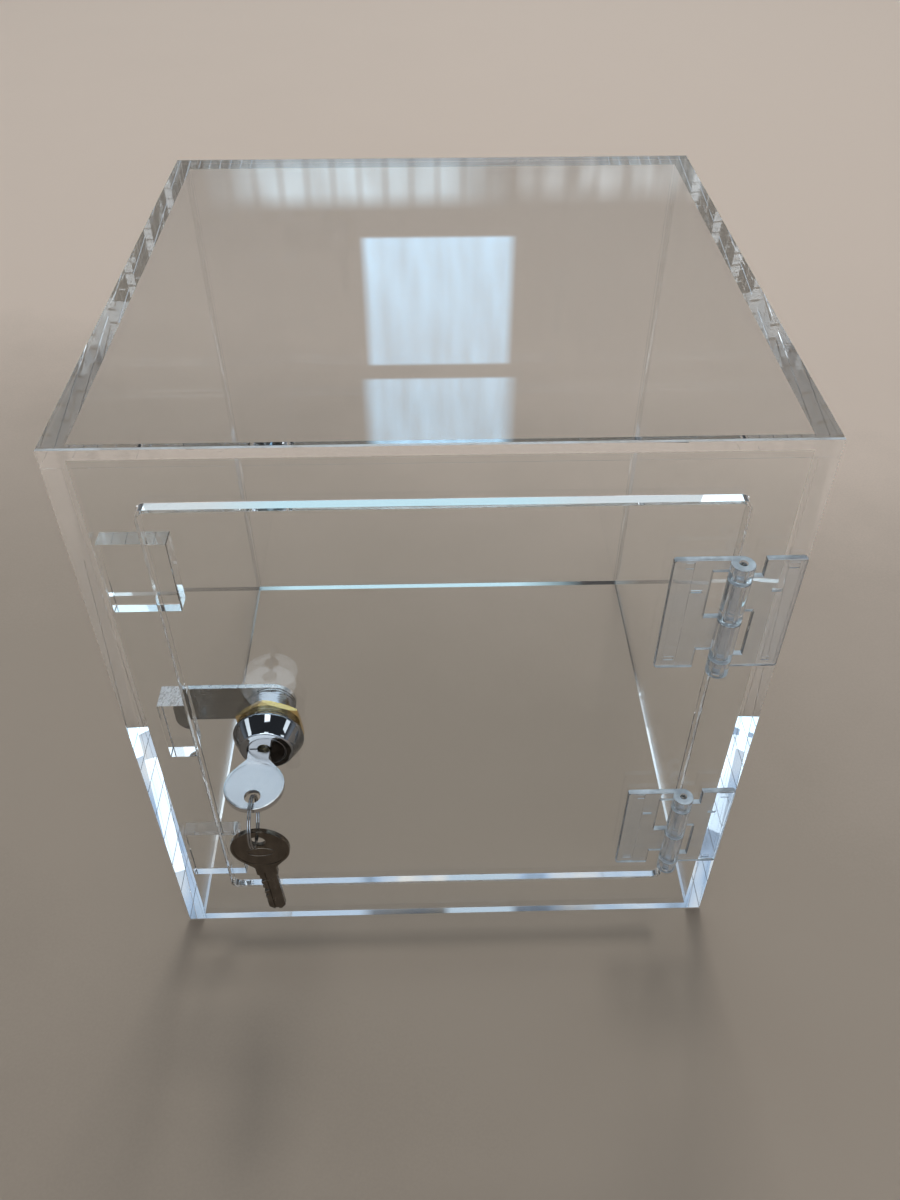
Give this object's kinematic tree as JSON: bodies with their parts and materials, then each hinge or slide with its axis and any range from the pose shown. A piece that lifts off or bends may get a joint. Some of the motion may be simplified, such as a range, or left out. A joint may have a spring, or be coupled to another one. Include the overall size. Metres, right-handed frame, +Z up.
{
  "type": "lockable display case",
  "caption": "Clear acrylic box case, open underneath, with a hinged front door closed by a cam lock; key in the lock and a spare on a split ring.",
  "frame": {"origin": "on the surface the case stands on, under the middle of the whole object with its keys", "axes": "+Z up; -Y out of the door, +Y to the back; +X to the right of someone facing the door"},
  "size_m": [0.212, 0.2512, 0.232],
  "materials": {
    "clear_acrylic": "polished, clear",
    "keeper_acrylic": "clear with saw-cut faces",
    "hinge_acrylic": "moulded, clear",
    "lock_chrome": "polished",
    "nut_brass": "machined",
    "wafer_brass": "stamped",
    "cam_steel": "zinc plated",
    "fastener_steel": "zinc plated",
    "key_nickel": "nickel plated, stamped",
    "ring_steel": "bright wire"
  },
  "bodies": {
    "case": {"top_panel": "clear_acrylic", "left_panel": "clear_acrylic", "right_panel": "clear_acrylic", "back_panel": "clear_acrylic", "front_frame": "clear_acrylic", "upper_stop": "clear_acrylic", "lower_stop": "clear_acrylic", "cam_keeper": "keeper_acrylic", "upper_hinge_frame_leaf": "hinge_acrylic", "upper_hinge_pin": "hinge_acrylic", "lower_hinge_frame_leaf": "hinge_acrylic", "lower_hinge_pin": "hinge_acrylic"},
    "door": {"door_panel": "clear_acrylic", "upper_hinge_door_leaf": "hinge_acrylic", "lower_hinge_door_leaf": "hinge_acrylic", "lock_housing": "lock_chrome", "lock_nut": "nut_brass"},
    "lock_core": {"lock_plug": "lock_chrome", "stop_washer": "fastener_steel", "cam": "cam_steel", "cam_washer": "fastener_steel", "cam_screw": "fastener_steel", "wafer_1": "wafer_brass", "wafer_spring_1": "fastener_steel", "wafer_2": "wafer_brass", "wafer_spring_2": "fastener_steel", "wafer_3": "wafer_brass", "wafer_spring_3": "fastener_steel", "wafer_4": "wafer_brass", "wafer_spring_4": "fastener_steel", "wafer_5": "wafer_brass", "wafer_spring_5": "fastener_steel"},
    "lock_key": {"key": "key_nickel"},
    "ring": {"key_ring": "ring_steel"},
    "hanging_key": {"spare_key": "key_nickel"}
  },
  "joints": [
    {"name": "door_hinge", "type": "hinge", "parent": "case", "child": "door", "pos_m": [0.0856, -0.0904, 0.1155], "axis": [0, 0, 1], "range_deg": [0, 180]},
    {"name": "lock_turn", "type": "hinge", "parent": "door", "child": "lock_core", "pos_m": [-0.0592, -0.0864, 0.1168], "axis": [0, -1, 0], "range_deg": [0, 90]},
    {"name": "key_slide", "type": "slide", "parent": "lock_core", "child": "lock_key", "axis": [0, -1, 0], "range_m": [0, 0.025]},
    {"name": "ring_swing", "type": "hinge", "parent": "lock_key", "child": "ring", "pos_m": [-0.0616, -0.1163, 0.1168], "axis": [-1, 0, 0], "range_deg": [0, 80]},
    {"name": "spare_key_swing", "type": "hinge", "parent": "ring", "child": "hanging_key", "pos_m": [-0.0616, -0.11705, 0.1024], "axis": [0, 1, 0], "range_deg": [-60, 90]}
  ]
}
